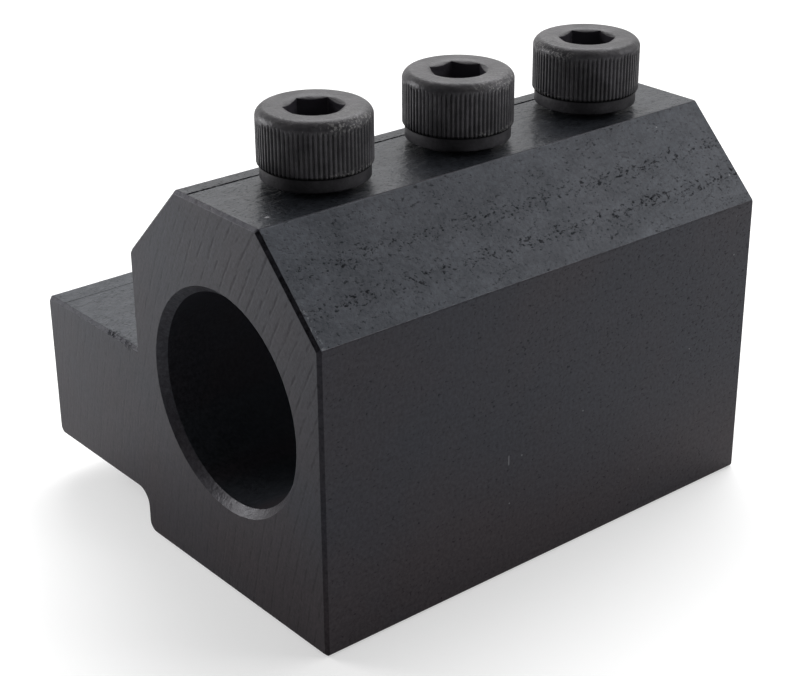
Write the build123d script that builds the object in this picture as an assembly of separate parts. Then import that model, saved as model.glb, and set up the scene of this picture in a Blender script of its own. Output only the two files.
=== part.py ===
from build123d import *
import math
import os

# Static axial tool holder: a steel block with a round bore for the tool's shank, a foot
# along its left side, and three cap screws in the top that clamp the shank.
#
# Frame: X across the block (the foot is on the -X side), Y along the bore (its mouth faces
# -Y), Z up. The origin is the middle of the block's underside, below the bore's axis.
# All sizes are in millimetres.

# Block
block_width = 36.0
block_height = 47.6
block_length = 67.4
top_slope = 10.3  # the two 45 degree flats beside the top face, measured along X and Z

# Foot along the left side
foot_projection = 20.8
foot_thickness = 19.6
foot_lift = 5.2  # from the block's underside up to the foot's underside

# Long edges of the section
toe_top_radius = 0.8
toe_bottom_radius = 1.2
foot_root_radius = 1.7  # inner corner under the foot
heel_radius = 1.6  # block's lower left edge
edge_radius = 0.6  # the other long edges
end_bevel = 0.4  # outline of the front and rear faces

# Relief in the wall just above the foot, so that a mating corner seats fully
relief_height = 1.4
relief_depth = 0.25
relief_sink = 0.15  # how far the relief goes below the foot's top face

# Bore
bore_diameter = 25.4
bore_height = 24.5  # axis above the underside
mouth_bevel_width = 0.9  # radial
mouth_bevel_depth = 1.0  # along the bore
rear_bore_bevel = 0.5

# Row of clamp screws, along the middle of the top face
front_screw_setback = 13.7  # from the front face to the first screw's axis
rear_screw_setback = 12.1  # from the last screw's axis to the rear face
screw_names = ("front", "middle", "rear")
socket_turns = (56.2, 31.8, 46.6)  # how far each screw happens to be turned, in degrees

# Thread, as its outer cylinder
thread_diameter = 8.0
thread_clearance = 0.05  # radial
hole_bevel = 0.5
tip_bevel = 0.8
tip_clearance = 0.3  # from the screw's tip to the bore, as the screws stand
seat_gap = 0.7  # from the top face to the underside of the heads, as the screws stand

# Screw head
head_diameter = 13.0
head_height = 8.0
crown_radius = 1.0
crown_facets = 4  # cones that stand for the crown's quarter round
collar_diameter = 12.4
collar_height = 1.65
collar_bevel = 0.15
knurl_teeth = 76
knurl_depth = 0.22
knurl_margin = 0.3  # plain band between the knurl and the crown
knurl_flank = 45.0  # degrees between a groove's flank and the radius

# Hex socket
socket_width = 6.0  # across flats
socket_depth = 5.0
socket_point = 0.9  # cone at the bottom
socket_mouth_diameter = 7.04
socket_mouth_slope = 65.0  # degrees between the mouth's cone and the screw's axis

# Places worked out from the sizes above
left_wall = -block_width / 2
right_wall = block_width / 2
toe = left_wall - foot_projection
foot_top = foot_lift + foot_thickness
front_face = -block_length / 2
rear_face = block_length / 2
bore_radius = bore_diameter / 2
bore_top = bore_height + bore_radius
head_seat = block_height + seat_gap
shank_length = head_seat - bore_top - tip_clearance
screw_spacing = (block_length - front_screw_setback - rear_screw_setback) / (len(screw_names) - 1)
through = 1.0  # how far a cutting solid runs past the face that it opens


def block_outline():
    """Closed section of the block and its foot, with every long edge rounded."""
    step_round_limit = foot_lift * 0.45
    heel_round = min(heel_radius, step_round_limit)
    root_round = min(foot_root_radius, step_round_limit)
    corners = [
        ((left_wall, 0), heel_round),
        ((right_wall, 0), edge_radius),
        ((right_wall, block_height - top_slope), edge_radius),
        ((right_wall - top_slope, block_height), edge_radius),
        ((left_wall + top_slope, block_height), edge_radius),
        ((left_wall, block_height - top_slope), edge_radius),
        ((left_wall, foot_top), 0),
        ((toe, foot_top), toe_top_radius),
        ((toe, foot_lift), toe_bottom_radius),
        ((left_wall, foot_lift), root_round),
    ]
    points = [point for point, _ in corners]
    radii = [radius for _, radius in corners]
    return FilletPolyline(*points, radius=radii, close=True)


def along_bore(solid, y):
    """Turn a solid made along Z to lie along the bore's axis, with its origin at y."""
    return Pos(0, y, bore_height) * Rot(-90, 0, 0) * solid


def bore_cutter():
    """The bore with its two bevelled mouths."""
    mouth_spread = mouth_bevel_width * (1 + through / mouth_bevel_depth)
    profile = Polyline(
        (0, -through),
        (bore_radius + mouth_spread, -through),
        (bore_radius, mouth_bevel_depth),
        (bore_radius, block_length - rear_bore_bevel),
        (bore_radius + rear_bore_bevel + through, block_length + through),
        (0, block_length + through),
        close=True,
    )
    turned = revolve(Plane.XZ * make_face(profile), Axis.Z)
    return along_bore(turned, front_face)


def screw_stations():
    """Distance of each screw's axis from the middle of the block, front to rear."""
    first = front_face + front_screw_setback
    return [first + index * screw_spacing for index in range(len(screw_names))]


def screw_hole_cutter():
    """One tapped hole, from the top face down into the bore."""
    hole_radius = thread_diameter / 2
    profile = Polyline(
        (0, bore_height),
        (hole_radius, bore_height),
        (hole_radius, block_height - hole_bevel),
        (hole_radius + hole_bevel + through, block_height + through),
        (0, block_height + through),
        close=True,
    )
    return revolve(Plane.XZ * make_face(profile), Axis.Z)


def holder_body():
    """The block and foot, milled from one piece."""
    section = Plane.XZ.offset(-rear_face) * make_face(block_outline())
    block = extrude(section, amount=block_length)
    ends = block.faces().sort_by(Axis.Y)
    block = chamfer(ends[0].edges() + ends[-1].edges(), end_bevel)
    relief = Box(
        relief_depth,
        block_length + 2 * through,
        relief_height + relief_sink,
        align=(Align.MIN, Align.CENTER, Align.MIN),
    )
    block -= Pos(left_wall, 0, foot_top - relief_sink) * relief
    block -= bore_cutter()
    for station in screw_stations():
        block -= Pos(0, station, 0) * screw_hole_cutter()
    return block


def crown_points():
    """Points of the quarter round between the head's side and its top, side first."""
    centre_radius = head_diameter / 2 - crown_radius
    centre_height = head_height - crown_radius
    points = []
    for step in range(crown_facets + 1):
        angle = math.pi / 2 * step / crown_facets
        points.append(
            (
                centre_radius + crown_radius * math.cos(angle),
                centre_height + crown_radius * math.sin(angle),
            )
        )
    return points


def turned_screw():
    """Head and shank as turned, before the knurl and the socket; z = 0 is the head's seat."""
    collar_radius = collar_diameter / 2
    shank_radius = thread_diameter / 2 - thread_clearance
    outline = Polyline(
        (0, -shank_length),
        (shank_radius - tip_bevel, -shank_length),
        (shank_radius, tip_bevel - shank_length),
        (shank_radius, 0),
        (collar_radius - collar_bevel, 0),
        (collar_radius, collar_bevel),
        (collar_radius, collar_height),
        (head_diameter / 2, collar_height),
        *crown_points(),
        (0, head_height),
        close=True,
    )
    return revolve(Plane.XZ * make_face(outline), Axis.Z)


def knurl_cutter():
    """All the grooves of the knurl: a ring round the head, less a star-shaped prism."""
    head_radius = head_diameter / 2
    root_radius = head_radius - knurl_depth
    half_step = math.pi / knurl_teeth
    tip_radius = root_radius + root_radius * half_step / math.tan(math.radians(knurl_flank))
    points = []
    for tooth in range(knurl_teeth):
        for turn, radius in ((2 * tooth, root_radius), (2 * tooth + 1, tip_radius)):
            angle = turn * half_step
            points.append((radius * math.cos(angle), radius * math.sin(angle)))
    grooves = Circle(head_radius + through) - make_face(Polyline(*points, close=True))
    band_height = head_height - crown_radius - knurl_margin - collar_height
    return extrude(Plane.XY.offset(collar_height) * grooves, amount=band_height)


def socket_cutter():
    """Hex socket with a coned mouth and a coned bottom, a corner on +X."""
    hexagon = RegularPolygon(socket_width / 2, 6, major_radius=False)
    prism = extrude(Plane.XY.offset(head_height - socket_depth) * hexagon, amount=socket_depth + through)
    slope = math.tan(math.radians(socket_mouth_slope))
    mouth_radius = socket_mouth_diameter / 2
    mouth = Polyline(
        (0, head_height + through),
        (mouth_radius + through * slope, head_height + through),
        (0, head_height - mouth_radius / slope),
        close=True,
    )
    point = Polyline(
        (0, head_height - socket_depth),
        (socket_width / 2, head_height - socket_depth),
        (0, head_height - socket_depth - socket_point),
        close=True,
    )
    cones = revolve(Plane.XZ * (make_face(mouth) + make_face(point)), Axis.Z)
    return prism + cones


def clamp_screw():
    """One cap screw, its axis on Z and the underside of its head at z = 0."""
    return turned_screw() - knurl_cutter() - socket_cutter()


def main():
    os.makedirs("parts", exist_ok=True)
    export_step(holder_body(), "parts/holder_body.step")
    screw = clamp_screw()
    for name, station, turn in zip(screw_names, screw_stations(), socket_turns):
        placed = Pos(0, station, head_seat) * Rot(0, 0, turn) * screw
        export_step(placed, f"parts/clamp_screw_{name}.step")


main()
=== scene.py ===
"""Looks of a static axial tool holder: a blackened steel block with three knurled clamp screws.

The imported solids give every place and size. This script dresses the milled block, replaces each
plain clamp screw with one that has its knurl, crown, socket and thread in full, and lights both
in a plain studio. Lengths are in millimetres, and MM turns them into the scene's metres.
"""

import logging
import math
import random
from collections.abc import Callable
from dataclasses import dataclass, field
from enum import Enum
from functools import cached_property, reduce
from operator import or_
from types import SimpleNamespace

import bmesh
import bpy
from mathutils import Matrix, Vector


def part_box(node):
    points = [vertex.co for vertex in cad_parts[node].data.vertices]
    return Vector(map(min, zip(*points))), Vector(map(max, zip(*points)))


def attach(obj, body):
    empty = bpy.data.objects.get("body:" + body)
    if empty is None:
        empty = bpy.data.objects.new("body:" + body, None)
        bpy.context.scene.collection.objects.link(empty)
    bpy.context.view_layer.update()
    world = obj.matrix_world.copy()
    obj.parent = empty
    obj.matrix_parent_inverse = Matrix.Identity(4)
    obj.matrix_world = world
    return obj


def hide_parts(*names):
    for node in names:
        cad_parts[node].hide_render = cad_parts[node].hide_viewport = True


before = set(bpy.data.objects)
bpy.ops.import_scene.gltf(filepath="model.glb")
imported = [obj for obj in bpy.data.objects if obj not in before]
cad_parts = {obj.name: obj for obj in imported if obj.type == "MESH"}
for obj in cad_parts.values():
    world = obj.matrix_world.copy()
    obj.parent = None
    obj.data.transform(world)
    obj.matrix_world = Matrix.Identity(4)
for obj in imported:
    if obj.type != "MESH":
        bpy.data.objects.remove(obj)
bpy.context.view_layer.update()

MM = 0.001
log = logging.getLogger("tool_holder")

Colour = tuple[float, float, float]
Point = tuple[float, float, float]
Ring = list[tuple[float, float]]  # radius and height of points evenly spaced round an axis
ORIGIN: Point = (0.0, 0.0, 0.0)


class Slot(Enum):
    """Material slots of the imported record."""

    BLOCK = "blackened_steel"
    SCREW = "screw_steel"


class ScrewPlace(Enum):
    """The three tapped holes, from the bore's mouth to the rear."""

    FRONT = "front"
    MIDDLE = "middle"
    REAR = "rear"

    @property
    def node(self) -> str:
        """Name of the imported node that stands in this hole."""
        return f"clamp_screw_{self.value}"

    @property
    def body(self) -> str:
        """Name of the moving body that this screw belongs to."""
        return f"{self.value}_screw"


class Face(Enum):
    """Directions of the block's flat faces."""

    FRONT = (0.0, -1.0, 0.0)
    REAR = (0.0, 1.0, 0.0)
    TOP = (0.0, 0.0, 1.0)
    RIGHT_SLOPE = (math.sqrt(0.5), 0.0, math.sqrt(0.5))
    LEFT_SLOPE = (-math.sqrt(0.5), 0.0, math.sqrt(0.5))
    RIGHT_SIDE = (1.0, 0.0, 0.0)
    LEFT_SIDE = (-1.0, 0.0, 0.0)


def feed(node: bpy.types.Node, feeds: dict) -> None:
    """Link values to a node's inputs, or set them.

    Args:
        node: The node to feed.
        feeds: Values, numbers or tuples by socket name or number; a colour may lack its alpha.
    """
    for name, value in feeds.items():
        socket = node.inputs[name]
        if isinstance(value, Value):
            node.id_data.links.new(value.socket, socket)
        elif socket.type == "RGBA":
            socket.default_value = (*value, 1.0)[:4]
        else:
            socket.default_value = value


def add(tree: bpy.types.NodeTree, kind: str, feeds: dict | None = None,
        **settings: object) -> bpy.types.Node:
    """Add a node to a tree.

    Args:
        tree: The material's or group's node tree.
        kind: The node's type name.
        feeds: What goes into its inputs, by socket name or number.
        settings: Properties to set on the node.

    Returns:
        The new node.
    """
    node = tree.nodes.new(kind)
    for name, value in settings.items():
        setattr(node, name, value)
    feed(node, feeds or {})
    return node


def step(operation: str, swapped: bool = False) -> Callable[..., "Value"]:
    """Make a method that does one arithmetic step on a value and another operand.

    Args:
        operation: The step's name.
        swapped: Whether the other operand comes first.

    Returns:
        The method.
    """

    def method(self: "Value", other: "Operand" = 0.0) -> "Value":
        """Result of the step."""
        pair = (other, self) if swapped else (self, other)
        return self.node("ShaderNodeMath", dict(enumerate(pair)), operation=operation)

    return method


class Value:
    """A number, vector or colour in a node tree; operators and methods add nodes to that tree.

    The | of two masks is the higher one.
    """

    __add__ = __radd__ = step("ADD")
    __sub__ = step("SUBTRACT")
    __rsub__ = step("SUBTRACT", swapped=True)
    __mul__ = __rmul__ = step("MULTIPLY")
    __truediv__ = step("DIVIDE")
    __rtruediv__ = step("DIVIDE", swapped=True)
    __or__ = step("MAXIMUM")
    __abs__ = step("ABSOLUTE")
    at_most = step("MINIMUM")
    below = step("LESS_THAN")
    fraction = step("FRACT")

    def __init__(self, socket: bpy.types.NodeSocket) -> None:
        """Keep the socket that the value comes out of."""
        self.socket = socket

    def node(self, kind: str, feeds: dict, output: int = 0, **settings: object) -> "Value":
        """Value that comes out of a new node in the same tree."""
        return Value(add(self.socket.id_data, kind, feeds, **settings).outputs[output])

    def vector(self, operation: str, other: "Operand" = ORIGIN) -> "Value":
        """Result of a step on this vector and another; dot products and lengths are numbers."""
        output = 1 if operation in ("DOT_PRODUCT", "LENGTH") else 0
        return self.node("ShaderNodeVectorMath", {0: self, 1: other}, output, operation=operation)

    def parts(self) -> list["Value"]:
        """The three numbers of this vector."""
        node = add(self.socket.id_data, "ShaderNodeSeparateXYZ", {0: self})
        return [Value(output) for output in node.outputs]

    def join(self, y: "Operand", z: "Operand" = 0.0) -> "Value":
        """Vector of this number and two more."""
        return self.node("ShaderNodeCombineXYZ", {0: self, 1: y, 2: z})

    def hypot(self, other: "Operand") -> "Value":
        """How far the point with these two numbers lies from the origin."""
        return self.join(other).vector("LENGTH")

    def ramp(self, low: "Operand", high: "Operand",
             start: float = 0.0, end: float = 1.0) -> "Value":
        """Smooth step from start, at low and before it, to end, at high and past it."""
        feeds = {"Value": self, "From Min": low, "From Max": high, "To Min": start, "To Max": end}
        return self.node("ShaderNodeMapRange", feeds, interpolation_type="SMOOTHSTEP")

    def band(self, centre: float, half_width: float) -> "Value":
        """One at the centre, falling smoothly to nought at the half width on both sides."""
        return abs(self - centre).ramp(half_width, 0.0)

    def line(self, centre: float, half_width: float, full: float) -> "Value":
        """A band that is one wherever its own height is over the level given as full."""
        return self.band(centre, half_width).ramp(0.0, full)

    def noise(self, scale: "Operand", detail: float = 2.0, roughness: float = 0.5) -> "Value":
        """Smooth noise over these places, between nought and one, mostly near a half."""
        feeds = {"Vector": self, "Scale": scale, "Detail": detail, "Roughness": roughness}
        return self.node("ShaderNodeTexNoise", feeds)

    def blend(self, first: "Operand", second: "Operand") -> "Value":
        """Mix of two colours, with this as the share of the second."""
        return self.node("ShaderNodeMix", {0: self, 6: first, 7: second}, 2, data_type="RGBA")

    def shaded(self, shade: "Value") -> "Value":
        """This colour times a number."""
        return self.vector("MULTIPLY", shade.join(shade, shade))


Operand = Value | float | tuple[float, ...]


class Effect:
    """A surface effect that several finishes share, kept as one shader node group.

    A subclass gives the group's title and the names and usual values of its sockets.
    """

    title: str = ""
    inputs: dict[str, float | Point] = {}
    outputs: dict[str, float | Point] = {"mask": 0.0}

    def __init__(self) -> None:
        """Make the group, its named sockets and its nodes."""
        self.tree = bpy.data.node_groups.new(self.title, "ShaderNodeTree")
        for in_out, sockets in (("INPUT", self.inputs), ("OUTPUT", self.outputs)):
            for name, usual in sockets.items():
                kind = "NodeSocketVector" if isinstance(usual, tuple) else "NodeSocketFloat"
                socket = self.tree.interface.new_socket(name, in_out=in_out, socket_type=kind)
                socket.default_value = usual
        entry = add(self.tree, "NodeGroupInput")
        given = SimpleNamespace(**{name: Value(entry.outputs[name]) for name in self.inputs})
        feed(add(self.tree, "NodeGroupOutput"), self.build(given))

    def build(self, given: SimpleNamespace) -> dict[str, Value]:
        """Make the group's nodes, from its inputs by name; gives its outputs by name."""
        raise NotImplementedError

    def at(self, first: Value, **others: Operand) -> SimpleNamespace:
        """Use the group in a material.

        Args:
            first: What goes to its first input.
            others: What goes to its other inputs, by name.

        Returns:
            Its outputs, by name.
        """
        feeds = {0: first, **others}
        node = add(first.socket.id_data, "ShaderNodeGroup", feeds, node_tree=self.tree)
        return SimpleNamespace(**{output.name: Value(output) for output in node.outputs})


class CloudyOxide(Effect):
    """Slow, patchy drift in the tone of a chemical blackening."""

    title = "cloudy_oxide"
    inputs = {"position": ORIGIN, "patch_size": 10.0, "grain_size": 0.6}
    outputs = {"drift": 0.0, "grain": 0.0}

    def build(self, given: SimpleNamespace) -> dict[str, Value]:
        """Two sizes of noise, the larger one stretched into soft clouds.

        Args:
            given: The group's inputs by name.

        Returns:
            What goes to each named output.
        """
        drift = given.position.noise(1.0 / given.patch_size, detail=3.0, roughness=0.55)
        grain = given.position.noise(1.0 / given.grain_size, detail=3.0, roughness=0.65)
        return {"drift": drift.ramp(0.3, 0.7), "grain": grain}


class CorrosionPits(Effect):
    """Small dark pits of uneven outline, more of them where the cover is higher."""

    title = "corrosion_pits"
    inputs = {"position": ORIGIN, "pit_size": 0.4, "cover": 0.3}

    def build(self, given: SimpleNamespace) -> dict[str, Value]:
        """The peaks of a rough noise, cut off lower where the cover is higher.

        Args:
            given: The group's inputs by name.

        Returns:
            What goes to each named output.
        """
        rough = given.position.noise(1.0 / given.pit_size, detail=2.5, roughness=0.55)
        level = 0.76 - given.cover * 0.26
        halo = rough.ramp(level - 0.04, level + 0.06)
        core = rough.ramp(level + 0.04, level + 0.10)
        return {"mask": halo * 0.4 + core * 0.6}


class CutterMarks(Effect):
    """Feed marks of a cutter: lines one pitch apart, broken along their length."""

    title = "cutter_marks"
    inputs = {"across": 0.0, "along": 0.0, "pitch": 1.0, "stroke": 4.0}
    outputs = {"line": 0.0, "streak": 0.0}

    def build(self, given: SimpleNamespace) -> dict[str, Value]:
        """Thin lines at each pitch with a random strength, over finer streaks between them.

        Args:
            given: The group's inputs by name.

        Returns:
            What goes to each named output.
        """
        turns = given.across / given.pitch
        run = given.along / given.stroke
        wander = turns.join(run, 3.7).noise(0.6, detail=1.0)
        strength = turns.join(run, 9.1).noise(1.3)
        streak = (turns * 5.0).join(run, 1.3).noise(1.0, detail=3.0, roughness=0.6)
        line = (turns + wander * 0.3).fraction().band(0.5, 0.19)
        return {"line": line * strength.ramp(0.36, 0.62), "streak": streak}


class RubbedEdges(Effect):
    """Where handling has rubbed the blackening off the edges."""

    title = "rubbed_edges"
    inputs = {"position": ORIGIN, "reach": 0.2, "breaks": 0.5}
    outputs = {"mask": 0.0, "normal": ORIGIN}

    def build(self, given: SimpleNamespace) -> dict[str, Value]:
        """Compare the surface's direction with the one of a rounded edge.

        Args:
            given: The group's inputs by name.

        Returns:
            What goes to each named output.
        """
        rounded = given.reach.node("ShaderNodeBevel", {"Radius": given.reach * MM}, samples=6)
        facing = Value(add(self.tree, "ShaderNodeNewGeometry").outputs["Normal"])
        agree = rounded.vector("DOT_PRODUCT", facing)
        breaks = given.position.noise(1.1, detail=4.0, roughness=0.65)
        broken = breaks.ramp(given.breaks - 0.08, given.breaks + 0.1)
        return {"mask": agree.ramp(0.995, 0.93) * broken, "normal": rounded}


class BrightSpecks(Effect):
    """Rare bright points where a nick has bared the steel."""

    title = "bright_specks"
    inputs = {"position": ORIGIN, "spacing": 3.0, "share": 0.2, "speck_size": 0.12}

    def build(self, given: SimpleNamespace) -> dict[str, Value]:
        """A share of the cells holds one small round speck each.

        Args:
            given: The group's inputs by name.

        Returns:
            What goes to each named output.
        """
        scale = 1.0 / given.spacing
        cells = add(self.tree, "ShaderNodeTexVoronoi", {"Vector": given.position, "Scale": scale})
        draw = Value(cells.outputs["Color"]).parts()[0]
        speck = Value(cells.outputs["Distance"]).ramp(given.speck_size * scale, 0.0)
        return {"mask": draw.below(given.share) * speck}


@dataclass
class Effects:
    """All the shared node groups, each built once."""

    oxide: Effect = field(default_factory=CloudyOxide)
    pits: Effect = field(default_factory=CorrosionPits)
    marks: Effect = field(default_factory=CutterMarks)
    edges: Effect = field(default_factory=RubbedEdges)
    specks: Effect = field(default_factory=BrightSpecks)


def new_material(name: str) -> tuple[bpy.types.Material, bpy.types.Node]:
    """Make an empty material with a Principled shader on its output.

    Args:
        name: The material's name.

    Returns:
        The material and the shader node.
    """
    material = bpy.data.materials.new(name)
    material.use_nodes = True
    tree = material.node_tree
    tree.nodes.clear()
    shader = add(tree, "ShaderNodeBsdfPrincipled")
    add(tree, "ShaderNodeOutputMaterial", {"Surface": Value(shader.outputs[0])})
    return material, shader


class Channel(Enum):
    """Sides of a surface's look that a trait can change."""

    SHADE = "shade"
    SPECULAR = "specular"
    ROUGHNESS = "roughness"
    HEIGHT = "height"


@dataclass(frozen=True)
class Trait:
    """What a surface gains where a mask is one."""

    mask: Value
    shade: float = 0.0  # for the number that the colour is multiplied by
    specular: float = 0.0
    roughness: float = 0.0
    height: float = 0.0  # in millimetres


def gained(traits: tuple[Trait, ...], channel: Channel, base: Operand = 0.0) -> Operand:
    """Add to a channel's base value what the traits give it.

    Args:
        traits: The surface's traits.
        channel: The channel to add up.
        base: Its value without them.

    Returns:
        The channel's value.
    """
    for trait in traits:
        if amount := getattr(trait, channel.value):
            base = base + trait.mask * amount
    return base


class SteelFinish:
    """What the two steel finishes share; its numbers hold before the traits are added."""

    specular: float
    roughness: float = 0.38
    refraction: float  # low for a dull surface
    tint: Colour  # of the reflections

    def coat(self, shader: bpy.types.Node, colour: Value, normal: Value,
             traits: tuple[Trait, ...]) -> None:
        """Feed the shader.

        Args:
            shader: The Principled shader.
            colour: Base colour.
            normal: Direction of the surface before the traits' height.
            traits: What the surface gains and where.
        """
        bump = {"Strength": 1.0, "Distance": MM, "Height": gained(traits, Channel.HEIGHT)}
        feed(shader, {
            "Base Color": colour,
            "Specular IOR Level": gained(traits, Channel.SPECULAR, self.specular),
            "Roughness": gained(traits, Channel.ROUGHNESS, self.roughness),
            "Normal": normal.node("ShaderNodeBump", {**bump, "Normal": normal}),
            "Metallic": 0.0,
            "IOR": self.refraction,
            "Specular Tint": self.tint,
        })


class Surface:
    """Places in millimetres and directions on an object, as its material sees them."""

    def __init__(self, tree: bpy.types.NodeTree) -> None:
        """Add the nodes that give places and directions.

        Args:
            tree: The material's node tree.
        """
        outputs = add(tree, "ShaderNodeTexCoord").outputs
        self.place = Value(outputs["Object"]).vector("MULTIPLY", (1 / MM, 1 / MM, 1 / MM))
        self.normal = Value(outputs["Normal"])
        self.x, self.y, self.z = self.place.parts()


class BlockSurface(Surface):
    """Masks of the block's faces and bevels, beside its places and directions."""

    def __init__(self, tree: bpy.types.NodeTree, effects: Effects, block: "HolderBlock") -> None:
        """Make the masks.

        Args:
            tree: The material's node tree.
            effects: The shared node groups.
            block: The block, for the places of its edges.
        """
        super().__init__(tree)
        self.effects, self.block = effects, block
        _, facing_y, facing_z = self.normal.parts()
        mouth = block.bore_radius
        from_axis = self.x.hypot(self.z - block.bore_height)
        self.in_bore = from_axis.ramp(mouth + 0.06, mouth + 0.02) * abs(facing_y).ramp(0.3, 0.1)
        self.ends = self.facing(Face.FRONT, Face.REAR)
        self.slopes = self.facing(Face.RIGHT_SLOPE, Face.LEFT_SLOPE)
        self.sides = self.facing(Face.RIGHT_SIDE, Face.LEFT_SIDE)
        self.level = self.facing(Face.TOP)  # the top of the block and of the foot
        self.on_top = self.z.ramp(block.height - 0.1, block.height - 0.01) * self.level
        faces = self.ends + self.slopes + self.sides + self.level + self.in_bore
        self.flat = faces.at_most(1.0)
        self.rounded = 1.0 - self.flat
        fall = abs(self.x) - self.z + (block.height - block.top_half_width)
        self.down_slope = fall * math.sqrt(0.5)  # distance down a slope from its upper edge

        front_bevel = (self.rounded * facing_y.ramp(-0.5, -0.6)
                       * from_axis.ramp(mouth + 1.0, mouth + 1.4))
        # Painted shade on the front bevels beside the slopes
        self.painted_shade_bevel = front_bevel * facing_z.band(0.5, 0.15)
        # Partly wear and partly painted highlight: the front bevel under the top face
        self.worn_highlit_bevel = (front_bevel * facing_z.ramp(0.58, 0.68)
                           * self.z.ramp(block.foot_top + 1.0, block.foot_top + 3.0))
        self.mouth_bevel = (self.rounded * facing_y.ramp(-0.4, -0.5)
                            * from_axis.ramp(mouth + 1.1, mouth + 0.9))

    def facing(self, *faces: Face) -> Value:
        """Mask of the surface that points in the direction of any of the faces."""
        agree = (self.normal.vector("DOT_PRODUCT", face.value) for face in faces)
        return reduce(or_, (value.ramp(0.93, 0.99) for value in agree))


@dataclass(frozen=True)
class MilledBlackSteel(SteelFinish):
    """Finish of the block: face-milled steel under a satin chemical blackening."""

    tone: Colour = (0.0292, 0.0300, 0.0368)
    cool_reflection_tone: Colour = (0.0285, 0.0325, 0.0385)  # painted reflection: bluer, on the slopes and the top, for the lamps' cool light that they reflect
    cool_reflection_share: float = 0.8
    warm_tone: Colour = (0.0365, 0.0303, 0.0335)  # browner: in random patches where the blackening is thin, and more so towards the bottom
    pit_tone: Colour = (0.005, 0.005, 0.0065)  # in the pits, scored lines, cutter lines and chewed edge, and painted shade in the wall's relief
    bare_tone: Colour = (0.20, 0.20, 0.21)  # where the steel is rubbed bright
    specular: float = 0.18
    refraction: float = 1.298
    tint: Colour = (0.89, 0.91, 1.0)
    cutter_centre: tuple[float, float] = (115.0, -20.0)  # X and Z of the facing cutter's axis
    cutter_pitch: float = 1.6  # between the feed marks on the ends
    pit_rows: tuple[float, ...] = (6.1, 10.5)  # of each slope, from its upper edge
    row_half_width: float = 1.5
    slope_cover: float = 0.575  # how densely the slopes are pitted between the rows
    side_cover: float = 0.55
    level_cover: float = 0.72
    end_cover: float = 0.22
    score_inset: float = 2.15  # scored line, from the top face's left edge
    foot_score_inset: float = 3.7  # scored line on the foot, from its outer edge
    chew_inset: float = 3.7  # middle of the chewed stretch of the foot's front edge, from the wall
    nick: tuple[float, float] = (-6.9, 15.3)  # Y and Z of a short bright nick in the right side
    chip: tuple[float, float] = (5.6, -30.7)  # X and Y of a small bright chip in the top

    def pits(self, on: BlockSurface, stretched: Value) -> Value:
        """Pits in two rows down the slopes, sparse and fine elsewhere.

        Args:
            on: The block's surface.
            stretched: Places, drawn out along the block.

        Returns:
            Mask of the pits.
        """
        rows = reduce(or_, (on.down_slope.band(row, self.row_half_width) for row in self.pit_rows))
        denser_back = on.y.ramp(-30.0, 10.0, 0.14, 0.23)
        denser_top = on.y.ramp(-25.0, 25.0, 0.0, 0.16) * on.z.ramp(6.0, 24.0)
        patchy = on.place.noise(0.3, detail=1.0).ramp(0.35, 0.65, 0.90, 1.08)
        cover = patchy * (1.0 - on.in_bore) * (
            on.slopes * (self.slope_cover + rows * denser_back)
            + on.sides * (self.side_cover + denser_top)
            + on.level * self.level_cover
            + on.ends * self.end_cover)
        broad = cover * (on.slopes + on.level * 0.85)
        coarse = on.effects.pits.at(stretched, pit_size=0.42, cover=broad).mask
        elsewhere = stretched.vector("ADD", (31.0, 7.0, 3.0))
        fine = on.effects.pits.at(elsewhere, pit_size=0.32, cover=cover).mask
        return (coarse | fine * 0.9) * (0.60 + on.slopes * (0.12 + rows * 0.22))

    def scores(self, on: BlockSurface) -> Value:
        """Scored lines beside the left edges of the top face and the foot.

        Args:
            on: The block's surface.

        Returns:
            Mask of the lines.
        """
        top_line = on.x.line(self.score_inset - on.block.top_half_width, 0.28, 0.45) * on.on_top
        foot_line = (on.x.line(on.block.toe + self.foot_score_inset, 0.2, 0.6)
                     * on.z.band(on.block.foot_top, 0.05) * 0.55)
        return (top_line | foot_line) * on.level * on.place.noise(2.2).ramp(0.30, 0.48, 0.55, 1.0)

    def chewed(self, on: BlockSurface) -> Value:
        """Chewed stretch of the foot's front upper edge, beside the wall.

        Args:
            on: The block's surface.

        Returns:
            Mask of the stretch.
        """
        wall, front, top = on.block.left_wall, on.block.front_face, on.block.foot_top
        ragged = on.place.noise(1.5, detail=3.0, roughness=0.6).ramp(0.50, 0.60)
        return (on.x.line(wall - self.chew_inset, 4.2, 0.5) * on.y.ramp(front + 1.2, front + 0.4)
                * on.z.ramp(top - 1.0, top - 0.4) * ragged
                * on.x.ramp(wall - 5.2, wall - 4.6, 1.0, 0.55))

    def relief_shade(self, on: BlockSurface) -> Value:
        """Mask of painted shade in the small relief in the wall just above the foot."""
        wall, top = on.block.left_wall, on.block.foot_top
        return (on.x.ramp(wall - 0.02, wall + 0.05) * on.x.ramp(wall + 0.32, wall + 0.27)
                * on.z.ramp(top - 0.20, top - 0.16) * on.z.ramp(top + 1.45, top + 1.35))

    def bared(self, on: BlockSurface, edges: Value) -> Value:
        """Where steel shows: rubbed edges, a frayed bevel, specks, one nick and one chip.

        Args:
            on: The block's surface.
            edges: Mask of the rubbed edges.

        Returns:
            How bare the steel is.
        """
        front = on.block.front_face
        frayed = (on.slopes * on.y.ramp(front + 1.3, front + 0.5) * on.down_slope.ramp(6.0, 11.0)
                  * on.place.noise(2.6, detail=3.0, roughness=0.65).ramp(0.54, 0.62))
        specks = on.effects.specks.at(on.place, spacing=3.0, share=0.11, speck_size=0.15).mask
        nick_y, nick_z = self.nick
        nick = on.y.band(nick_y, 0.09) * on.z.line(nick_z, 0.8, 0.3) * on.facing(Face.RIGHT_SIDE)
        chip_x, chip_y = self.chip
        chip = (on.x - chip_x).hypot((on.y - chip_y) * 0.7).ramp(0.28, 0.14) * on.on_top
        return edges * 0.16 | frayed * 0.5 | specks | nick | chip

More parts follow.
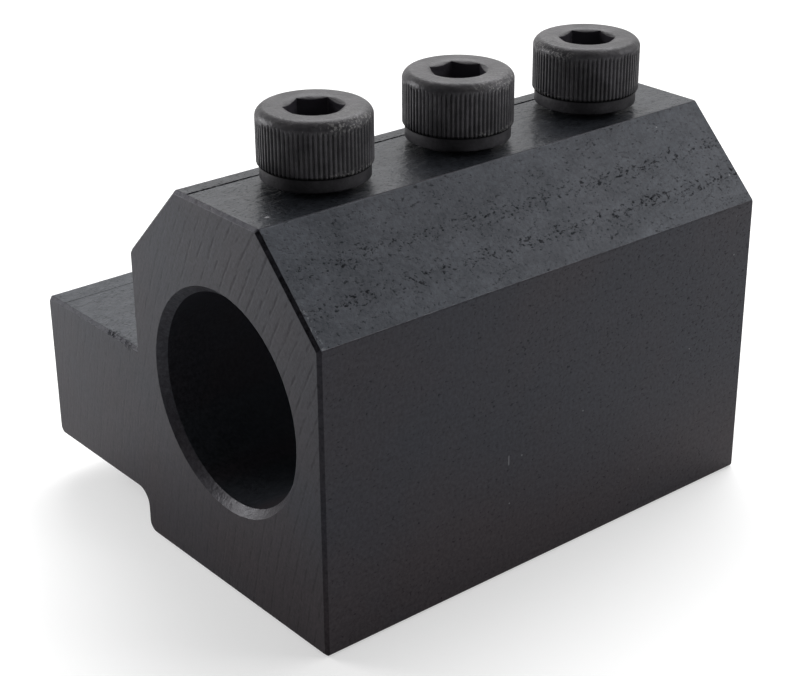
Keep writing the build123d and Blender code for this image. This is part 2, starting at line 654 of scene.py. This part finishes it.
    def material(self, effects: Effects, block: "HolderBlock") -> bpy.types.Material:
        """Make the block's material.

        Args:
            effects: The shared node groups.
            block: The block, for the places of its edges.

        Returns:
            The material.
        """
        material, shader = new_material("milled_black_steel")
        on = BlockSurface(material.node_tree, effects, block)
        stretched = on.place.vector("MULTIPLY", (1.0, 0.55, 1.0))
        oxide = effects.oxide.at(on.place, patch_size=14.0, grain_size=0.45)
        edges = effects.edges.at(on.place, reach=0.09, breaks=0.52)

        # Feed marks: arcs about the cutter's axis on the ends, lines along the block elsewhere
        centre_x, centre_z = self.cutter_centre
        from_cutter = (on.x - centre_x).hypot(on.z - centre_z)
        arcs = effects.marks.at(from_cutter, along=on.z, pitch=self.cutter_pitch, stroke=1.8)
        lines = effects.marks.at(on.x + on.z, along=on.y, pitch=2.4, stroke=7.0)
        fainter = on.x.ramp(-14.0, 8.0, 0.4, 1.0) * on.z.ramp(16.0, 34.0, 0.6, 1.0)
        arc_line = arcs.line * on.ends * fainter
        arc_streak = (arcs.streak - 0.5) * on.ends
        long_streak = (lines.streak - 0.5) * (1.0 - on.ends)

        pits, scores, chewed = self.pits(on, stretched), self.scores(on), self.chewed(on)
        # Painted shade in the relief joins the real pits, scores, cutter lines and chewed edge
        dark = pits | scores | self.relief_shade(on) * 0.6 | arc_line * 0.27 | chewed * 0.85
        blotches = stretched.noise(0.9, detail=3.0, roughness=0.6) - 0.5
        mottle = (on.level + on.slopes * 0.7) * blotches
        clouds = on.slopes * (stretched.noise(0.33, detail=3.0) - 0.5)
        burr = on.place.noise(1.3, detail=4.0, roughness=0.65) * on.rounded
        # Painted light, rising deeper into the bore
        bore_painted_light = on.in_bore * on.y.ramp(block.front_face + 1.0, block.front_face + 24.0)
        score_x = self.score_inset - block.top_half_width
        beside_score = on.x.ramp(score_x + 0.1, score_x - 0.1) * on.on_top
        traits = (
            Trait(on.flat, specular=0.32),
            Trait(on.rounded, shade=-0.45),
            Trait(on.level, roughness=-0.08),
            Trait(on.on_top, shade=-0.40, specular=0.03),
            Trait(beside_score, shade=-0.10, specular=-0.06),
            # Painted shade near the bore's mouth and painted light deeper in: the bore's colour
            # goes from darker to lighter
            Trait(on.in_bore, shade=-0.25, specular=-0.24, roughness=0.08),
            Trait(bore_painted_light, shade=1.35, specular=0.46),
            # Painted highlight lightens this bevel's colour; the uneven specular beside it is wear
            Trait(on.worn_highlit_bevel, shade=0.30, specular=0.05),
            Trait(on.worn_highlit_bevel * burr, specular=0.4),
            Trait(on.mouth_bevel * burr, specular=0.6),
            # Painted shade: the front bevels beside the slopes are darker in colour
            Trait(on.painted_shade_bevel, shade=-0.50, specular=-0.12),
            Trait(burr, shade=0.9, height=0.10),
            Trait(mottle, shade=0.6, specular=0.4, height=0.10),
            Trait(clouds, shade=0.5, specular=0.35),
            Trait(arc_streak, shade=0.55, height=0.016),
            Trait(long_streak, shade=0.30, height=0.012),
            Trait(oxide.grain - 0.5, roughness=0.16, height=0.012),
            Trait(dark, roughness=0.25),
            Trait(on.flat * dark, specular=-0.40),
            Trait(arc_line, height=-0.02),
            Trait(pits, height=-0.022),
            Trait(scores, specular=-0.15, height=-0.05),
            Trait(chewed, height=-0.10),
        )

        # Browner in random patches of thin blackening, and more so towards the bottom
        warmth = oxide.drift * 0.5 + on.z.ramp(22.0, 2.0, 0.0, 0.65)
        # Painted reflection: the slopes and the top take a bluer colour for the cool lamp light
        # they reflect
        cool_reflection = (on.slopes | on.level) * self.cool_reflection_share
        colour = cool_reflection.blend(warmth.blend(self.tone, self.warm_tone), self.cool_reflection_tone)
        grain = oxide.grain.ramp(0.25, 0.75, 0.74, 1.26)
        colour = dark.blend(colour.shaded(gained(traits, Channel.SHADE, grain)), self.pit_tone)
        bare = self.bared(on, edges.mask)
        self.coat(shader, bare.blend(colour, self.bare_tone), edges.normal, traits)
        return material


@dataclass(frozen=True)
class OxideScrewSteel(SteelFinish):
    """Finish of a clamp screw: black oxide, worn to a lighter grey on the crown."""

    seed: Point  # shift of the pattern, so that no two screws are alike
    tone: Colour = (0.0415, 0.0400, 0.0440)  # of the knurl
    crown_tone: Colour = (0.0400, 0.0380, 0.0400)
    socket_shade_tone: Colour = (0.0230, 0.0210, 0.0260)
    pit_and_shade_tone: Colour = (0.005, 0.005, 0.0055)  # painted shade in the knurl's grooves, on the collar and under the knurl, and the colour of the pits
    bare_tone: Colour = (0.30, 0.295, 0.29)  # of small bright nicks
    specular: float = 0.5
    refraction: float = 1.28
    tint: Colour = (0.95, 0.94, 1.0)

    def material(self, effects: Effects, screw: "ClampScrew") -> bpy.types.Material:
        """Make one screw's material.

        Args:
            effects: The shared node groups.
            screw: The screw, for the places of its knurl and crown.

        Returns:
            The material.
        """
        material, shader = new_material(f"oxide_screw_steel_{screw.place.value}")
        on = Surface(material.node_tree)
        z = on.z
        shifted = on.place.vector("ADD", self.seed)
        oxide = effects.oxide.at(shifted, patch_size=3.2, grain_size=0.35)
        edges = effects.edges.at(shifted, reach=0.10, breaks=0.5)
        specks = effects.specks.at(shifted, spacing=1.9, share=0.30, speck_size=0.16).mask
        pits = effects.pits.at(shifted, pit_size=0.3, cover=0.35).mask

        # Parts of the screw
        head, collar, crest = screw.head_height, screw.collar_height, screw.head_radius
        crown_start = head - screw.crown_radius
        from_axis = on.x.hypot(on.y)
        rubbed = (z + (oxide.drift - 0.5) * 0.7).ramp(crown_start, head - 0.25)
        on_head = z.ramp(collar, collar + 0.1)
        on_collar = z.ramp(collar + 0.02, collar - 0.06)
        on_knurl = on_head * z.ramp(crown_start + 0.3, crown_start - 0.3)
        # Painted shadow: a dark line under the knurl's lower end
        shade_under_knurl = z.line(collar, 0.32, 0.6)
        in_groove = from_axis.ramp(crest - 0.03, crest - screw.knurl_depth)
        groove = on_head * in_groove * z.ramp(crown_start + 0.1, crown_start - 0.3)
        inside = on.normal.parts()[2].ramp(0.6, 0.3) | z.ramp(head - 0.6, head - 0.8)
        in_socket = on_head * inside * from_axis.ramp(screw.dish_radius, screw.dish_radius - 0.2)

        # Wear: specks all over the open side, and bruises where the crown has been struck
        open_side = on_head * (1.0 - in_socket)
        exposed = z.band(crown_start + 0.2, 1.3) | z.band(collar + 0.3, 0.6)
        struck = math.radians(screw.bruise - screw.turn)
        outward = on.x.join(on.y).vector("NORMALIZE")
        towards = outward.vector("DOT_PRODUCT", (math.cos(struck), math.sin(struck), 0.0))
        flecks = shifted.noise(3.4, detail=3.0, roughness=0.6).ramp(0.50, 0.62)
        bare = (edges.mask * z.ramp(0.0, head, 0.10, 0.35)
                | specks * (0.25 + exposed * 0.75) * open_side
                | towards.ramp(0.62, 0.97) * flecks * exposed * open_side * 0.48)
        # Painted shade in the grooves, on the collar and under the knurl, besides the real pits
        dark = groove * 0.38 | pits * 0.5 | on_collar * 0.36 | shade_under_knurl
        traits = (
            Trait(on_knurl, specular=0.24),
            Trait(on_collar, specular=-0.25),
            Trait(shade_under_knurl, specular=-0.28),
            Trait(in_socket, specular=-0.42),
            Trait(oxide.grain - 0.5, roughness=0.2, height=0.02),
            Trait(oxide.drift, height=0.03),
            Trait(dark, roughness=0.25),
            Trait(shifted.noise(1.4, detail=3.0, roughness=0.6) * rubbed, height=0.07),
            Trait(pits, height=-0.03),
        )

        shade = (oxide.grain.ramp(0.2, 0.8, 0.78, 1.22) * oxide.drift.ramp(0.0, 1.0, 0.84, 1.14)
                 * shifted.noise(0.22).ramp(0.38, 0.62, 0.72, 1.30))
        colour = rubbed.blend(self.tone, self.crown_tone).shaded(shade)
        # Painted shade down in the hex socket
        colour = in_socket.blend(dark.blend(colour, self.pit_and_shade_tone), self.socket_shade_tone)
        self.coat(shader, bare.blend(colour, self.bare_tone), edges.normal, traits)
        return material


@dataclass
class HolderBlock:
    """The milled block with its foot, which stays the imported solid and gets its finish."""

    node: str = "holder_body"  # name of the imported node
    bore_radius: float = 12.7
    bore_height: float = 24.5  # of the axis above the underside
    height: float = 47.6
    top_half_width: float = 7.7
    left_wall: float = -18.0  # X of the wall above the foot
    foot_top: float = 24.8  # height of the foot's top face

    @cached_property
    def toe(self) -> float:
        """X of the foot's outer side."""
        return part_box(self.node)[0].x / MM

    @cached_property
    def front_face(self) -> float:
        """Y of the front face, where the bore's mouth is."""
        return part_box(self.node)[0].y / MM

    def dress(self, effects: Effects) -> bpy.types.Object:
        """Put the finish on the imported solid.

        Args:
            effects: The shared node groups.

        Returns:
            The dressed object.
        """
        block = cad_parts[self.node]
        material = MilledBlackSteel().material(effects, self)
        for slot in block.material_slots:
            slot.material = material
        return block


def new_object(name: str, data: bpy.types.ID) -> bpy.types.Object:
    """Make an object of a mesh, light or camera and link it to the scene.

    Args:
        name: The object's name.
        data: What it shows.

    Returns:
        The object.
    """
    made = bpy.data.objects.new(name, data)
    bpy.context.scene.collection.objects.link(made)
    return made


@dataclass
class RingSkin:
    """A closed skin grown from rings of points about the Z axis, in millimetres.

    Attributes:
        points: All the points so far.
        faces: Corner numbers of each face.
    """

    points: list[Point] = field(default_factory=list)
    faces: list[tuple[int, ...]] = field(default_factory=list)

    def ring(self, ring: Ring) -> list[int]:
        """Add one ring.

        Args:
            ring: Radius and height of each point.

        Returns:
            The numbers of the ring's points.
        """
        first = len(self.points)
        step = 2 * math.pi / len(ring)
        for index, (radius, height) in enumerate(ring):
            across, along = radius * math.cos(index * step), radius * math.sin(index * step)
            self.points.append((across, along, height))
        return list(range(first, len(self.points)))

    def bridge(self, lower: list[int], upper: list[int]) -> None:
        """Join two rings with faces; one may have several times the other's points.

        Args:
            lower: The ring that comes first on the way along the skin.
            upper: The next ring.
        """
        count = min(len(lower), len(upper))
        low_step = len(lower) // count
        high_step = len(upper) // count
        for index in range(count):
            low = [lower[(index * low_step + k) % len(lower)] for k in range(low_step + 1)]
            high = [upper[(index * high_step + k) % len(upper)] for k in range(high_step + 1)]
            self.faces.append((*low, *reversed(high)))

    def close(self, ring: list[int], height: float) -> None:
        """Close a ring with a fan to a point on the axis.

        Args:
            ring: The ring to close, anticlockwise as seen from outside.
            height: Height of the point.
        """
        centre = len(self.points)
        self.points.append((0.0, 0.0, height))
        self.faces.extend((corner, following, centre)
                          for corner, following in zip(ring, ring[1:] + ring[:1]))

    def mesh(self, name: str, sharp_angle: float) -> bpy.types.Mesh:
        """Make a Blender mesh in metres, smooth but for its sharp edges.

        Args:
            name: The mesh's name.
            sharp_angle: Smallest angle, in degrees, between faces that makes an edge sharp.

        Returns:
            The mesh.
        """
        mesh = bpy.data.meshes.new(name)
        mesh.from_pydata([Vector(point) * MM for point in self.points], [], self.faces)
        shape = bmesh.new()
        shape.from_mesh(mesh)
        bmesh.ops.recalc_face_normals(shape, faces=shape.faces)
        limit = math.radians(sharp_angle)
        for face in shape.faces:
            face.smooth = True
        for edge in shape.edges:
            edge.smooth = edge.calc_face_angle(0.0) < limit
        shape.to_mesh(mesh)
        shape.free()
        return mesh


def clamped(value: float) -> float:
    """The value, kept between nought and one."""
    return min(1.0, max(0.0, value))


@dataclass
class ClampScrew:
    """A knurled cap screw with a hex socket; z is nought at the seat of its head."""

    place: ScrewPlace
    seed: int  # number that its small irregularities are drawn from
    turn: float  # how far it happens to be turned, in degrees
    bruise: float  # direction from the axis, in degrees, where its crown has been struck
    head_radius: float = 6.5  # over the knurl's crests
    head_height: float = 8.0
    crown_radius: float = 1.0  # reach of the crown's round, inwards and down
    crown_fullness: float = 1.7  # power of that round; 2 is a quarter circle, less is slacker
    dish_radius: float = 4.15  # of the edge where the top starts to dip towards the socket
    crown_dish: float = 0.10  # how far the top dips
    collar_radius: float = 6.2
    collar_height: float = 1.65
    collar_bevel: float = 0.15
    collar_neck: float = 0.06  # radial depth of the neck between collar and knurl
    neck_height: float = 0.12
    teeth: int = 76
    points_per_tooth: int = 6
    knurl_depth: float = 0.22
    knurl_fade: float = 0.6  # height over which the grooves run out under the crown
    knurl_lead: float = 0.18  # height of the bevel at the knurl's lower end
    knurl_lead_depth: float = 0.10
    crest_share: float = 0.34  # of each tooth
    groove_rise: tuple[float, float] = (-0.10, 0.16)  # least and most
    groove_share: tuple[float, float] = (0.82, 1.0)  # least and most of the full depth
    socket_across_flats: float = 6.0
    socket_depth: float = 5.0
    socket_point: float = 0.9  # depth of the cone at the bottom
    socket_mouth_radius: float = 3.52
    socket_mouth_slope: float = 65.0  # degrees between the mouth's cone and the axis
    thread_radius: float = 3.95
    thread_root_radius: float = 3.24
    thread_pitch: float = 1.25
    thread_crest: float = 0.14  # share of the half pitch where the crest ends
    thread_root: float = 0.80  # the same where the root starts
    thread_start: float = 0.35  # below the head
    thread_runout: float = 0.9
    tip_bevel: float = 0.8
    sharp_angle: float = 42.0  # degrees between two faces that make a sharp edge

    @property
    def count(self) -> int:
        """Points round the head."""
        return self.teeth * self.points_per_tooth

    @cached_property
    def seat(self) -> float:
        """Height of the underside of the head above the block's underside, at rest."""
        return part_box(self.place.node)[1].z / MM - self.head_height

    @cached_property
    def shank_length(self) -> float:
        """Length of the threaded shank."""
        return self.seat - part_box(self.place.node)[0].z / MM

    def groove(self, index: int, raised: list[float], depths: list[float], height: float) -> float:
        """Depth of the knurl at one point of the head's side.

        Args:
            index: Number of the point round the head.
            raised: How far above the crown's start each groove ends.
            depths: Depth of each groove.
            height: Height of the point.

        Returns:
            How far the point lies inside the head's radius.
        """
        tooth, step = divmod(index + self.points_per_tooth // 2, self.points_per_tooth)
        tooth %= self.teeth
        from_root = abs(step / self.points_per_tooth - 0.5) * 2
        shape = max(0.0, 1.0 - from_root / (1.0 - self.crest_share))
        top = self.head_height - self.crown_radius + raised[tooth]
        lift = clamped((height - top + self.knurl_fade) / self.knurl_fade)
        lead = clamped((self.collar_height + self.knurl_lead - height) / self.knurl_lead)
        return max(0.0, depths[tooth] * (shape - lift ** 2)) + self.knurl_lead_depth * lead

    def head_side(self) -> list[Ring]:
        """Rings from the collar's lower round up over the knurl and round the crown.

        Returns:
            The rings in order.
        """
        draw = random.Random(self.seed)
        raised = [draw.uniform(*self.groove_rise) for _ in range(self.teeth)]
        depths = [self.knurl_depth * draw.uniform(*self.groove_share) for _ in range(self.teeth)]
        collar = []
        bevel_steps = 4
        for index in range(bevel_steps + 1):
            angle = math.pi / 2 * index / bevel_steps
            collar.append((self.collar_radius - self.collar_bevel * (1 - math.sin(angle)),
                           self.collar_bevel * (1 - math.cos(angle))))
        collar.append((self.collar_radius, self.collar_height - self.neck_height))
        collar.append((self.collar_radius - self.collar_neck, self.collar_height))
        rings = [[point] * self.count for point in collar]

        # The knurl's rings lie closer together where its grooves fade out
        crown_start = self.head_height - self.crown_radius
        heights = [self.collar_height + 0.01, self.collar_height + self.knurl_lead, 3.0, 4.5,
                   crown_start - 0.9, *(crown_start - 0.75 + 0.105 * index for index in range(8))]
        outline = [(self.head_radius, height) for height in heights]
        centre = self.head_radius - self.crown_radius
        power = 2 / self.crown_fullness
        arc_steps = 14
        for index in range(1, arc_steps + 1):
            angle = math.pi / 2 * index / arc_steps
            outline.append((centre + self.crown_radius * max(0.0, math.cos(angle)) ** power,
                            crown_start + self.crown_radius * math.sin(angle) ** power))
        rings += [
            [(radius - self.groove(index, raised, depths, height), height)
             for index in range(self.count)]
            for radius, height in outline
        ]
        return rings

    def socket(self) -> list[Ring]:
        """Rings from the crown's flat in over the coned mouth and down the hexagon.

        Returns:
            The rings in order, ending at the foot of the hexagon.
        """
        top, flat = self.head_height, self.socket_across_flats / 2
        crown_edge = self.head_radius - self.crown_radius
        rim = top - self.crown_dish
        cone_edge, cone_top = self.socket_mouth_radius - 0.02, rim - 0.02
        slope = math.tan(math.radians(self.socket_mouth_slope))
        step, sector = 2 * math.pi / self.count, math.pi / 3
        angles = [(index * step) % sector - sector / 2 for index in range(self.count)]
        radii = [flat / math.cos(angle) for angle in angles]
        mouth = [(radius, cone_top - (cone_edge - radius) / slope) for radius in radii]
        floor = top - self.socket_depth
        return [
            [((crown_edge + self.dish_radius) / 2, top)] * self.count,
            [(self.dish_radius + 0.05, top)] * self.count,
            [(self.dish_radius - 0.05, top - 0.01)] * self.count,
            [(self.socket_mouth_radius + 0.03, rim - 0.005)] * self.count,
            [(cone_edge, cone_top)] * self.count,
            mouth,
            [(radius - 0.03, height - 0.06) for radius, height in mouth],
            [(radius - 0.03, floor + 1.2) for radius in radii],
            [(radius - 0.03, floor) for radius in radii],
            [(flat - 0.04, floor)] * self.count,
        ]

    def thread_radius_at(self, turns: float, height: float) -> float:
        """Radius of the thread.

        Args:
            turns: Part of a turn round the axis, from nought to one.
            height: Height, negative down the shank.

        Returns:
            The radius at that point of the shank.
        """
        phase = (height / self.thread_pitch - turns) % 1.0
        from_crest = abs(phase - 0.5) * 2
        flank = clamped((from_crest - self.thread_crest) / (self.thread_root - self.thread_crest))
        depth = (self.thread_radius - self.thread_root_radius) * flank
        under_head = clamped((-height - self.thread_start) / self.thread_runout)
        above_tip = height + self.shank_length
        return min(self.thread_radius - depth * under_head,
                   self.thread_radius - self.tip_bevel + above_tip)

    def shank(self) -> list[Ring]:
        """Rings up the threaded shank, from its tip to the underside of the head.

        Returns:
            The rings in order.
        """
        rings_per_pitch = 16
        rows = math.ceil(self.shank_length / self.thread_pitch * rings_per_pitch)
        heights = [-self.shank_length * (1 - row / rows) for row in range(rows + 1)]
        turns = [column / self.teeth for column in range(self.teeth)]
        return [[(self.thread_radius_at(turn, height), height) for turn in turns]
                for height in heights]

    def build(self) -> bpy.types.Object:
        """Make the whole screw, in place.

        Returns:
            The screw's object, its origin on its axis at the seat of the head.
        """
        skin = RingSkin()
        rings = [skin.ring(ring) for ring in self.shank() + self.head_side() + self.socket()]
        for lower, upper in zip(rings, rings[1:]):
            skin.bridge(lower, upper)
        skin.close(rings[0][::-1], -self.shank_length)
        skin.close(rings[-1], self.head_height - self.socket_depth - self.socket_point)
        name = f"{self.place.value}_cap_screw"
        low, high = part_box(self.place.node)
        centre = (low + high) / 2
        screw = new_object(name, skin.mesh(name, self.sharp_angle))
        screw.matrix_world = (
            Matrix.Translation((centre.x, centre.y, self.seat * MM))
            @ Matrix.Rotation(math.radians(self.turn), 4, "Z")
        )
        return screw

    def install(self, effects: Effects) -> bpy.types.Object:
        """Build the screw, dress it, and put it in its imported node's place.

        Args:
            effects: The shared node groups.

        Returns:
            The finished screw.
        """
        screw = self.build()
        draw = random.Random(self.seed + 1)
        shift = tuple(draw.uniform(-50.0, 50.0) for _ in range(3))
        screw.data.materials.append(OxideScrewSteel(shift).material(effects, self))
        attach(screw, self.place.body)
        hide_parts(self.place.node)
        return screw


@dataclass(frozen=True)
class SoftBox:
    """A rectangular studio lamp; lengths are in millimetres."""

    name: str
    place: Point
    aim: Point  # the point that it faces
    size: tuple[float, float]
    power: float  # in watts

    def hang(self) -> None:
        """Make the lamp."""
        light = bpy.data.lights.new(self.name, "AREA")
        light.shape = "RECTANGLE"
        light.size, light.size_y = (side * MM for side in self.size)
        light.energy = self.power
        lamp = new_object(self.name, light)
        lamp.location = Vector(self.place) * MM
        towards = (Vector(self.aim) - Vector(self.place)) * MM
        lamp.rotation_euler = towards.to_track_quat("-Z", "Y").to_euler()


@dataclass(frozen=True)
class Viewpoint:
    """Where the camera stands, worked out from the block's edges in the photograph."""

    target: Point = (-6.100, -2.224, 20.843)  # on the axis of the lens
    distance: float = 224.48  # from that point to the camera
    azimuth: float = 50.27  # degrees round from the front, towards +X
    elevation: float = 25.093  # degrees above the horizon
    roll: float = -0.314  # degrees that the camera is tipped about its own axis
    focal_length: float = 80.033
    sensor_width: float = 36.0
    near_limit: float = 10.0  # nothing nearer than this is seen

    def place_camera(self) -> None:
        """Make the camera and set it as the scene's own."""
        azimuth, elevation = math.radians(self.azimuth), math.radians(self.elevation)
        outward = Vector((
            math.sin(azimuth) * math.cos(elevation),
            -math.cos(azimuth) * math.cos(elevation),
            math.sin(elevation),
        ))
        lens = bpy.data.cameras.new("camera")
        lens.sensor_width = self.sensor_width
        lens.lens = self.focal_length
        lens.clip_start = self.near_limit * MM
        camera = new_object("camera", lens)
        roll = Matrix.Rotation(math.radians(self.roll), 3, "Z").to_quaternion()
        camera.rotation_mode = "QUATERNION"
        camera.rotation_quaternion = outward.to_track_quat("Z", "Y") @ roll
        camera.location = (Vector(self.target) + outward * self.distance) * MM
        bpy.context.scene.camera = camera


@dataclass
class Studio:
    """A plain pale floor under soft lamps, with a white surround."""

    floor_size: float = 3000.0
    floor_sink: float = 0.02  # how far the floor lies below the object
    floor_tone: float = 0.62
    floor_glow: float = 0.42  # light that only the camera sees on the floor, to bring it to white
    far_glow: float = 0.70  # the same far from the object, where the lamps fall off
    glow_reach: tuple[float, float] = (180.0, 900.0)  # where one turns into the other
    ambient: float = 0.225  # strength of the light from all round
    bright_side: Point = (-0.55, 0.75, 0.36)  # direction of the room's white wall in reflections
    dark_side: float = 0.06  # strength of the unlit side of the room in reflections
    lamps: tuple[SoftBox, ...] = (
        SoftBox("overhead", (-170.0, 240.0, 480.0), (0.0, 0.0, 20.0), (520.0, 420.0), 3.8),
        SoftBox("left_fill", (-150.0, -115.0, 75.0), (-25.0, -34.0, 25.0), (80.0, 80.0), 0.22),
        SoftBox("rear_right", (190.0, 240.0, 170.0), (15.0, 30.0, 35.0), (200.0, 200.0), 0.48),
    )

    def seen_directly(self, path: bpy.types.Node) -> Value:
        """One for rays straight from the camera, nought for light and reflections."""
        return Value(path.outputs["Is Camera Ray"]) | Value(path.outputs["Is Transmission Ray"])

    def lay_floor(self) -> None:
        """Make the floor."""
        half = self.floor_size / 2 * MM
        mesh = bpy.data.meshes.new("studio_floor")
        corners = [(-half, -half, 0.0), (half, -half, 0.0), (half, half, 0.0), (-half, half, 0.0)]
        mesh.from_pydata(corners, [], [(0, 1, 2, 3)])
        floor = new_object("studio_floor", mesh)
        floor.location.z = -self.floor_sink * MM
        material, shader = new_material("pale_paper")
        place = Value(add(material.node_tree, "ShaderNodeTexCoord").outputs["Object"])
        fibres = place.noise(1400.0, detail=3.0)
        tone = fibres.ramp(0.2, 0.8, self.floor_tone - 0.01, self.floor_tone + 0.01)
        near, far = (reach * MM for reach in self.glow_reach)
        glow = place.vector("LENGTH").ramp(near, far, self.floor_glow, self.far_glow)
        path = add(material.node_tree, "ShaderNodeLightPath")
        feed(shader, {
            "Base Color": tone.join(tone, tone),
            "Roughness": 0.9,
            "Specular IOR Level": 0.1,
            "Emission Color": (1.0, 1.0, 1.0),
            "Emission Strength": self.seen_directly(path) * glow,
        })
        mesh.materials.append(material)

    def light_world(self) -> None:
        """Give the air a dim light, a white look, and a dark side of the room for reflections."""
        world = bpy.data.worlds.new("studio_air")
        world.use_nodes = True
        tree = world.node_tree
        tree.nodes.clear()
        path = add(tree, "ShaderNodeLightPath")
        direction = Value(add(tree, "ShaderNodeTexCoord").outputs["Generated"])
        towards_wall = direction.vector("DOT_PRODUCT", self.bright_side)
        reflected = towards_wall.ramp(-0.35, 0.55, self.dark_side, 1.0)
        lit = self.ambient + Value(path.outputs["Is Glossy Ray"]) * (reflected - self.ambient)
        air = add(tree, "ShaderNodeBackground", {
            "Color": (1.0, 1.0, 1.0), "Strength": lit | self.seen_directly(path)})
        add(tree, "ShaderNodeOutputWorld", {"Surface": Value(air.outputs[0])})
        bpy.context.scene.world = world

    def build(self) -> None:
        """Lay the floor, light the world and hang the lamps."""
        self.lay_floor()
        self.light_world()
        for lamp in self.lamps:
            lamp.hang()
        bpy.context.scene.view_settings.view_transform = "Standard"


def main() -> None:
    """Build and dress the holder in its studio, piece by piece."""
    logging.basicConfig(level=logging.INFO, format="%(name)s: %(message)s")
    effects = Effects()
    block = HolderBlock().dress(effects)
    log.info("dressed %s", block.name)
    for screw in (
        ClampScrew(ScrewPlace.FRONT, seed=11, turn=56.2, bruise=8.0),
        ClampScrew(ScrewPlace.MIDDLE, seed=12, turn=31.8, bruise=14.0),
        ClampScrew(ScrewPlace.REAR, seed=13, turn=46.6, bruise=-100.0),
    ):
        built = screw.install(effects)
        log.info("built %s with %d faces", built.name, len(built.data.polygons))
    Studio().build()
    Viewpoint().place_camera()


if __name__ == "__main__":
    main()
